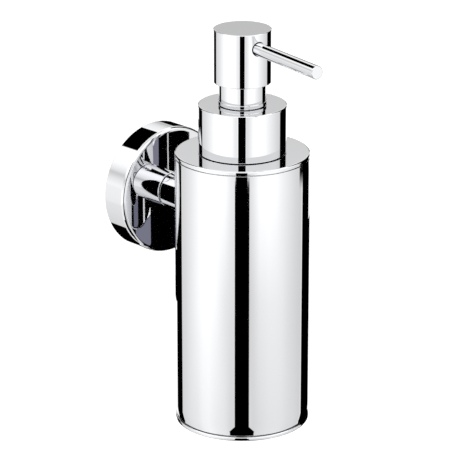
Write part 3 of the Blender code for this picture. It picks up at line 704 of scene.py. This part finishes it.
def guide_sleeve():
    """The bright neck between collar and head, with a foot ring and a spigot that goes down the collar."""
    tube, wall, spigot = 9.5 * MM, 1.2 * MM, 8.7 * MM
    ring_low = COLLAR.high + GAP
    ring_high = ring_low + 1.4 * MM
    make("guide_sleeve", "pump", "chrome_plate", [
        (tube - wall, SLEEVE.low), (spigot, SLEEVE.low), (spigot, ring_low),
        (SLEEVE.radius, ring_low, 0.25 * MM), (SLEEVE.radius, ring_high, 0.3 * MM),
        (tube, ring_high, 0.15 * MM), (tube, SLEEVE.high, 0.3 * MM), (tube - wall, SLEEVE.high, 0.3 * MM)],
        PUMP_PLACE)


def collar():
    """A bright cup turned upside down over the plastic screw cap."""
    wall, hole = 1.1 * MM, 9.0 * MM
    roof = COLLAR.high - wall
    make("collar", "screw_cap", "chrome_plate", [
        (hole, COLLAR.high, 0.2 * MM), (hole, roof), (COLLAR.radius - wall, roof, 0.6 * MM),
        (COLLAR.radius - wall, COLLAR.low), (COLLAR.radius, COLLAR.low, 0.2 * MM),
        (COLLAR.radius, COLLAR.high, 0.55 * MM)], PUMP_PLACE)


def pump_closure():
    """The plastic screw cap inside the collar: fluted outside, threaded inside."""
    cap = Turned("pump_closure")
    bore, hole, roof_wall, flutes, flute_depth = 13.7 * MM, 9.0 * MM, 1.3 * MM, 48, 0.35 * MM
    flute_start, flute_limit, flute_full = 0.9 * MM, 1.0 * MM, 1.3 * MM
    thread_depth, thread_low = 0.3 * MM, cap.low + 3.0 * MM
    roof_low = cap.high - roof_wall
    ridge = helix_ridge(THREAD_PITCH, -thread_depth, thread_low, turns=2.0)
    rings, plain = 50, 0.6 * MM
    threaded = [(bore, roof_low - (roof_low - cap.low - plain) * i / rings, 0) for i in range(1, rings)]

    def shape(radius, height, angle):
        if abs(radius - bore) < ON_WALL:
            return ridge(radius, height, angle)
        if radius > cap.radius - 2 * ON_WALL and cap.low + flute_limit < height < cap.high - flute_limit:
            return radius - flute_depth * max(0.0, math.cos(flutes * angle)) ** 2, height
        return radius, height

    make("pump_closure", "screw_cap", "white_plastic", [
        (cap.radius, cap.high, 0.5 * MM), (hole, cap.high), (hole, roof_low), (bore, roof_low, 0.3 * MM)]
        + threaded + [
            (bore, cap.low, 0.3 * MM), (cap.radius, cap.low, 0.3 * MM),
            (cap.radius, cap.low + flute_start, 0), (cap.radius, cap.low + flute_full, 0),
            (cap.radius, cap.high - flute_full, 0)],
        PUMP_PLACE, steps=3 * MEDIUM, shape=shape)


def piston():
    """A seal with two lips and a narrower waist, and a socket for the stem."""
    seal = Turned("piston")
    waist, lip, socket_bore, floor = seal.radius - MM, 1.6 * MM, 3.8 * MM, seal.low + 1.8 * MM
    make("piston", "plunger", "white_plastic", [
        (seal.radius, seal.high, 0.1 * MM), (socket_bore, seal.high, 0.3 * MM), (socket_bore, floor),
        (STEM_BORE, floor), (STEM_BORE, seal.low, 0.3 * MM), (seal.radius, seal.low, 0.1 * MM),
        (seal.radius, seal.low + lip, 0.2 * MM), (waist, seal.low + 2 * lip, 0.6 * MM),
        (waist, seal.high - 2 * lip, 0.6 * MM), (seal.radius, seal.high - lip, 0.2 * MM)],
        PUMP_PLACE, steps=MEDIUM)


def stem():
    make("stem", "plunger", "white_plastic", [
        (STEM_BORE, STEM.low, 0.2 * MM), (STEM.radius, STEM.low, 0.4 * MM),
        (STEM.radius, STEM.high, 0.5 * MM), (STEM_BORE, STEM.high, 0.2 * MM)], PUMP_PLACE, steps=MEDIUM)


def return_spring():
    """A coil of round wire: its end turns rise more slowly, as on a squared spring."""
    low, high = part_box("return_spring")
    wire, turns, points_a_turn, closed_turns, slow = 0.5 * MM, 8, 48, 0.8, 0.35
    radius = (high.x - low.x) / 2 - wire
    bottom, top = low.z + wire, high.z - wire
    curve = bpy.data.curves.new("return_spring_coil", "CURVE")
    curve.dimensions = "3D"
    curve.bevel_depth = wire
    curve.bevel_resolution = 5
    curve.use_fill_caps = True
    count = turns * points_a_turn
    coil = curve.splines.new("POLY")
    coil.points.add(count)
    whole = turns - 2 * closed_turns * (1 - slow)
    for i, point in enumerate(coil.points):
        turn = i / points_a_turn
        ends = min(turn, closed_turns) + max(0.0, turn - turns + closed_turns)
        rise = (turn - ends * (1 - slow)) / whole
        angle = math.tau * turn
        point.co = (radius * math.cos(angle), radius * math.sin(angle), bottom + (top - bottom) * rise, 1.0)
    shaped = add_object("return_spring_guide", curve, PUMP_PLACE)
    mesh = bpy.data.meshes.new_from_object(shaped.evaluated_get(bpy.context.evaluated_depsgraph_get()))
    bpy.data.objects.remove(shaped)
    mesh.materials.clear()
    smooth(mesh)
    spring = add_object("return_spring_coil", mesh, PUMP_PLACE)
    adopt(spring, "return_spring", "pump", "bright_steel")
    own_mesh(spring)


def inlet_ball():
    low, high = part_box("inlet_ball")
    centre, radius = (low.z + high.z) / 2, (high.z - low.z) / 2
    half = 32
    arc = [(radius * math.sin(math.pi * i / half), centre - radius * math.cos(math.pi * i / half), 0)
           for i in range(half + 1)]
    make("inlet_ball", "inlet_valve", "bright_steel", arc, PUMP_PLACE, closed=False, steps=COARSE)


def dip_tube():
    """Soft tubing, cut off at a slant below so that it can't seal itself against the bottle's floor."""
    tube = Turned("dip_tube")
    wall, slant = 0.8 * MM, 1.6 * MM
    cut_end = tube.low + MM / 2

    def shape(radius, height, angle):
        if height > cut_end:
            return radius, height
        return radius, height + slant * (1 + radius / tube.radius * math.cos(angle))

    make("dip_tube", "pump", "clear_plastic", [
        (tube.radius - wall, tube.low), (tube.radius, tube.low), (tube.radius, tube.high, 0.2 * MM),
        (tube.radius - wall, tube.high, 0.2 * MM)], PUMP_PLACE, steps=COARSE, shape=shape)


# ==== Head ====

def spout_frame():
    """Local Z runs along the spout from the container's axis; also gives its root and tip distances."""
    low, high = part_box("spout_tube")
    middle = (low + high) / 2
    out = Vector((middle.x - AXIS.x, middle.y - AXIS.y, 0))
    radius = (high.z - low.z) / 2
    along = out.normalized()
    half = ((high.y - low.y) - 2 * radius * abs(along.x)) / (2 * abs(along.y))
    turn = along.to_track_quat("Z", "Y").to_matrix().to_4x4()
    place = Matrix.Translation((AXIS.x, AXIS.y, middle.z)) @ turn
    return place, radius, out.length - half, out.length + half


SPOUT_PLACE, SPOUT_RADIUS, SPOUT_ROOT, SPOUT_TIP = spout_frame()
SPOUT_BORE = 1.9 * MM
OUTLET_RADIUS = 1.3 * MM
OUTLET = SPOUT_TIP - 3.6 * MM


def head_shell():
    """A bright cup turned upside down, with a hole in its side for the spout."""
    bore, roof = 10.2 * MM, 1.4 * MM
    shell = make("head_shell", "head", "chrome_plate", [
        (0.0, HEAD.high), (HEAD.radius, HEAD.high, 0.4 * MM), (HEAD.radius, HEAD.low, 0.3 * MM),
        (bore, HEAD.low, 0.3 * MM), (bore, HEAD.high - roof, 0.8 * MM), (0.0, HEAD.high - roof)],
        PUMP_PLACE, closed=False)
    drill(shell, SPOUT_RADIUS + GAP, HEAD.radius / 2, 2 * HEAD.radius, SPOUT_PLACE, MEDIUM)


def head_core():
    """The plastic insert: a boss over the stem, and a channel that turns from it into the spout."""
    core = Turned("head_core")
    height, boss, boss_bore, relief = 9.0 * MM, 6.0 * MM, 3.8 * MM, STEM.high + GAP
    insert = make("head_core", "head", "white_plastic", [
        (0.0, core.high), (core.radius, core.high, 0.4 * MM), (core.radius, core.high - height, 0.4 * MM),
        (boss, core.high - height, 0.4 * MM), (boss, core.low, 0.4 * MM), (boss_bore, core.low, 0.3 * MM),
        (boss_bore, relief), (STEM_BORE, relief), (STEM_BORE, SPOUT_PLACE.translation.z),
        (0.0, SPOUT_PLACE.translation.z)], PUMP_PLACE, closed=False, steps=MEDIUM)
    drill(insert, SPOUT_BORE - GAP, 0.0, 2 * SPOUT_ROOT, SPOUT_PLACE)
    drill(insert, SPOUT_RADIUS + GAP, SPOUT_ROOT - GAP, 2 * HEAD.radius, SPOUT_PLACE)


def spout():
    """The bright tube with an outlet in its underside near the tip, and a clear liner inside it."""
    end_wall = 1.2 * MM
    tube = make("spout_tube", "head", "chrome_plate", [
        (0.0, SPOUT_TIP), (SPOUT_RADIUS, SPOUT_TIP, 0.35 * MM), (SPOUT_RADIUS, SPOUT_ROOT),
        (SPOUT_BORE, SPOUT_ROOT), (SPOUT_BORE, SPOUT_TIP - end_wall), (0.0, SPOUT_TIP - end_wall)],
        SPOUT_PLACE, closed=False, steps=MEDIUM)
    under = Matrix.Translation(SPOUT_PLACE @ Vector((0, 0, OUTLET)))
    drill(tube, OUTLET_RADIUS, -2 * SPOUT_RADIUS, 0.0, under)
    wall, outer = 0.7 * MM, SPOUT_BORE - GAP
    root, end = SPOUT_ROOT + GAP, OUTLET - OUTLET_RADIUS - GAP
    make("spout_liner", "head", "clear_plastic", [
        (outer - wall, root), (outer, root), (outer, end), (outer - wall, end)], SPOUT_PLACE, steps=COARSE)


# ==== Studio ====
# The world is a white tent with black flags in it. Bearings are degrees round the object, from the
# direction the camera stands in, positive to its right; heights are degrees above the horizon.

BLACK = (0.0, 0.0, 0.0)
LILAC = (0.24, 0.24, 0.31)
FLAG_HEIGHT = -18.4  # where the side flag on the right and the middle flag change their width
STRIPE_LEFT, STRIPE_RIGHT = -12.8, 11.9
FLARE_TOP, FLARE_OUT, FLARE_DOWN, FLARE_STEPS = -24.6, 1.3, 1.2, 8
FLAGS = (  # bearing from, to, height from, to, softness of the sides
    (STRIPE_LEFT, STRIPE_RIGHT, -90, FLAG_HEIGHT, 0.7),  # the container's middle stripe
    (-11.0, 8.4, -90, 38, 0.7),  # narrower, and on up past the horizon
    (124.5, 157.0, -90, FLAG_HEIGHT + 0.4, 0.8),  # the dark right edges, low and high
    (114.0, 154.0, FLAG_HEIGHT, 50, 0.8),
    (-154.0, -127.5, -90, 36, 0.8),  # the dark left edges
    (-180.1, -127.5, -62, -27, 0.8),  # behind and below, in two halves
    (124.5, 180.1, -62, -27, 0.8),
    (-60.0, 60.0, -75, -46, 8.0),  # soft, in front and far below
    (-168.0, -121.0, 34, 50, 2.0),  # soft, behind on the left and high
    (163.0, 180.1, -12, 10, 2.0),  # straight behind, in two halves
    (-180.1, -163.0, -12, 10, 2.0),
) + tuple(  # the middle flag widens downward, which flares the stripe at the container's foot
    (STRIPE_LEFT - FLARE_OUT * step, STRIPE_RIGHT + FLARE_OUT * step, -90, FLARE_TOP - FLARE_DOWN * step, 0.8)
    for step in range(1, FLARE_STEPS + 1))
FLAG_END_SOFTNESS = 0.4  # degrees over which a flag's top and bottom fade
TENT_HEIGHTS = (-23.5, -21.0, -18.6)
TENT = (  # bearing, and how bright the tent is there at each of the three heights
    (-180, 1.15, 1.20, 1.20), (-156, 1.15, 1.20, 1.20), (-127, 0.76, 0.76, 0.77), (-115, 0.80, 0.80, 0.82),
    (-100, 0.88, 0.94, 0.94), (-84, 0.93, 1.10, 1.11), (-72, 1.03, 1.20, 1.25), (-60, 1.06, 1.22, 1.25),
    (-46, 0.98, 1.14, 1.25), (-30, 0.91, 0.95, 1.22), (-19, 0.78, 0.86, 0.99), (-14, 0.77, 0.84, 0.94),
    (-13, 0.80, 0.95, 1.10), (13, 0.79, 0.73, 0.86), (20, 0.77, 0.82, 1.00), (30, 0.83, 0.95, 1.22),
    (47, 0.89, 1.00, 1.25), (60, 0.90, 0.99, 1.18), (72, 0.89, 0.96, 1.05), (86, 0.83, 0.86, 0.93),
    (102, 0.79, 0.78, 0.80), (118, 0.73, 0.72, 0.72), (121, 0.73, 0.72, 0.72), (123, 1.00, 1.00, 1.00),
    (160, 1.15, 1.20, 1.20), (180, 1.15, 1.20, 1.20),
)
SKY = (  # height, and how bright the tent is there above the horizon
    (0, 0.90), (8, 0.76), (14, 0.57), (15.6, 0.59), (17.1, 0.68), (18.4, 0.75), (25, 0.95), (40, 1.20),
    (54, 1.20), (66, 0.78), (90, 0.62),
)
SKY_LOW, SKY_HIGH = -4, 2  # the heights between which the tent's lower part becomes the sky
FRONT_SKY = 0.22  # the sky on the camera's side is this share brighter than straight behind


def ramp(tree, value, stops, low, high):
    """Greys at stops between low and high, with straight runs from one to the next."""
    made = add_node(tree, "ShaderNodeValToRGB", {"Fac": between(tree, value, 0.0, 1.0, low, high, "LINEAR")})
    elements = made.color_ramp.elements
    while len(elements) < len(stops):
        elements.new(0.5)
    for element, (at, grey) in zip(elements, stops):
        element.position = (at - low) / (high - low)
        element.color = (grey, grey, grey, 1.0)
    return made.outputs["Color"]


def window(tree, value, low, high, soft):
    """1 while the value is between low and high, and 0 outside."""
    rise = between(tree, value, 0.0, 1.0, low - soft / 2, low + soft / 2)
    fall = between(tree, value, 1.0, 0.0, high - soft / 2, high + soft / 2)
    return math_node(tree, "MULTIPLY", rise, fall)


def part_along(tree, vector, axis):
    product = add_node(tree, "ShaderNodeVectorMath", {0: vector, 1: axis}, operation="DOT_PRODUCT")
    return product.outputs["Value"]


def bearing_and_height(tree):
    """The direction of a ray in degrees, and how far it points to the camera's side, from -1 to 1."""
    towards = add_node(tree, "ShaderNodeTexCoord").outputs["Generated"]
    to_camera = (math.sin(CAMERA_AZIMUTH), -math.cos(CAMERA_AZIMUTH), 0.0)
    to_right = (math.cos(CAMERA_AZIMUTH), math.sin(CAMERA_AZIMUTH), 0.0)
    sideways = part_along(tree, towards, to_right)
    forward = part_along(tree, towards, to_camera)
    upward = part_along(tree, towards, (0.0, 0.0, 1.0))
    bearing = math_node(tree, "MULTIPLY", math_node(tree, "ARCTAN2", sideways, forward), math.degrees(1))
    height = math_node(tree, "MULTIPLY", math_node(tree, "ARCSINE", upward), math.degrees(1))
    return bearing, height, forward


def sky_light(tree, height, forward):
    """The tent above the horizon, brighter on the camera's side."""
    sky = ramp(tree, height, SKY, 0, 90)
    in_front = between(tree, forward, 0.0, 1.0, from_low=-0.6, from_high=0.0)
    gain = math_node(tree, "MULTIPLY_ADD", in_front, FRONT_SKY, 1.0)
    scaled = add_node(tree, "ShaderNodeVectorMath", {0: sky, "Scale": gain}, operation="SCALE")
    return scaled.outputs["Vector"]


def white_tent():
    """Lights the scene with the tent: its lower part, the sky above that, and the flags in front of both."""
    world = bpy.data.worlds.new("white_tent")
    bpy.context.scene.world = world
    world.use_nodes = True
    tree = world.node_tree
    bearing, height, forward = bearing_and_height(tree)
    rows = [ramp(tree, bearing, [(stop[0], stop[1 + row]) for stop in TENT], -180, 180) for row in range(3)]
    low, middle, high = TENT_HEIGHTS
    tent = mixed(tree, between(tree, height, 0.0, 1.0, low, middle, "LINEAR"), rows[0], rows[1])
    tent = mixed(tree, between(tree, height, 0.0, 1.0, middle, high, "LINEAR"), tent, rows[2])
    above = between(tree, height, 0.0, 1.0, SKY_LOW, SKY_HIGH)
    light = mixed(tree, above, tent, sky_light(tree, height, forward))
    for left, right, bottom, top, soft in FLAGS:
        across = window(tree, bearing, left, right, soft)
        upright = window(tree, height, bottom, top, FLAG_END_SOFTNESS)
        light = mixed(tree, math_node(tree, "MULTIPLY", across, upright), light, BLACK)
    tree.links.new(light, tree.nodes["Background"].inputs["Color"])


def card(name, corners, colour):
    """A flat flag close to the object, with its corners in mm. It only shows in the chrome."""
    mesh = bpy.data.meshes.new(name)
    mesh.from_pydata([Vector(corner) * MM for corner in corners], [], [range(len(corners))])
    obj = add_object(name, mesh, Matrix.Identity(4))
    material = bpy.data.materials.new(name)
    material.use_nodes = True
    material.node_tree.nodes.clear()
    glow = add_node(material.node_tree, "ShaderNodeEmission", {"Color": (*colour, 1.0)})
    add_node(material.node_tree, "ShaderNodeOutputMaterial", {"Surface": glow.outputs["Emission"]})
    mesh.materials.append(material)
    obj.visible_camera = obj.visible_diffuse = obj.visible_transmission = obj.visible_shadow = False


def across_x(x, y_from, y_to, low, high):
    """Corners of an upright card that faces along X."""
    return [(x, y_from, low), (x, y_to, low), (x, y_to, high), (x, y_from, high)]


def across_y(y, x_from, x_to, low, high):
    """Corners of an upright card that faces along Y."""
    return [(x_from, y, low), (x_to, y, low), (x_to, y, high), (x_from, y, high)]


def cards():
    """Two cards to the right of the container and of the gap behind it, and four near the wall's plane.

    One pair of the four is beside the rosette and one below it, each with a black card and a lilac one.
    """
    near, far, far_down = 40, 60, -300
    wall, rosette_edge, outer_edge = -1, 28.5, 85
    card("near_card", across_x(near, -59, -45.6, far_down, 9), BLACK)
    card("far_card", across_x(far, -80, 10, far_down, -17), BLACK)
    card("side_card", across_y(wall, rosette_edge, outer_edge, -21, 0), LILAC)
    card("side_card_foot", across_y(wall, rosette_edge, outer_edge, -60, -21), BLACK)
    card("low_card", across_y(wall, -12, rosette_edge, -52, -rosette_edge), BLACK)
    card("low_card_lilac", across_y(2 * wall, 0, rosette_edge, -42, -rosette_edge), LILAC)


def plain_surface(name, colour, emission):
    """A matt, faintly mottled surface that glows a little."""
    material, tree, shader, place = start_finish(name, Roughness=0.9, Emission_Strength=emission)
    shader.inputs["Emission Color"].default_value = (1, 1, 1, 1)
    grain = speckle(tree, place, 40.0, detail=4.0)
    darker = [0.985 * part for part in colour]
    tree.links.new(mixed(tree, grain, colour, darker), shader.inputs["Base Color"])
    return material


def studio():
    """A pale floor and a round backdrop that rises from it. Mirrors see the tent instead of them."""
    drop, radius, sweep, backdrop_height = 1.4, 5.0, 1.5, 6.0
    level = cad_low.z - drop
    corners = [(0.0, level), (radius, level, sweep), (radius, level + backdrop_height)]
    mesh = spun_mesh("floor", rounded_outline(corners, False), False, COARSE)
    floor = add_object("floor", mesh, Matrix.Identity(4))
    smooth(floor.data)
    floor.data.flip_normals()
    floor.data.materials.append(plain_surface("pale_floor", (0.93, 0.93, 0.93), emission=0.25))
    floor.visible_glossy = False
    floor.visible_transmission = False
    floor.visible_diffuse = False
    floor.visible_shadow = False


def camera():
    """An unshifted camera that was fitted to the outlines in the photo."""
    right = Vector((math.cos(CAMERA_AZIMUTH), math.sin(CAMERA_AZIMUTH), 0))
    back = Vector((math.sin(CAMERA_AZIMUTH) * math.cos(CAMERA_ELEVATION),
                   -math.cos(CAMERA_AZIMUTH) * math.cos(CAMERA_ELEVATION), math.sin(CAMERA_ELEVATION)))
    target = Vector((AXIS.x, AXIS.y, 0)) - right * AIM_LEFT - Vector((0, 0, AIM_DOWN))
    data = bpy.data.cameras.new("camera")
    data.lens = CAMERA_LENS
    data.sensor_width = SENSOR
    data.clip_start, data.clip_end = 0.01, 50.0
    obj = add_object("camera", data, Matrix.Identity(4))
    obj.location = target + back * CAMERA_DISTANCE
    obj.rotation_mode = "QUATERNION"
    obj.rotation_quaternion = (-back).to_track_quat("-Z", "Y")
    bpy.context.scene.camera = obj


for build in (rosette, wall_plate, arm, wall_fasteners, container_fasteners, grub_screw, container_tube,
              container_lid, base_cap, base_o_ring, inner_bottle, neck_gasket, pump_housing, stem_guide,
              guide_sleeve, collar, pump_closure, piston, stem, return_spring, inlet_ball, dip_tube,
              head_shell, head_core, spout):
    build()
white_tent()
cards()
studio()
camera()
bpy.context.scene.view_settings.view_transform = "Standard"
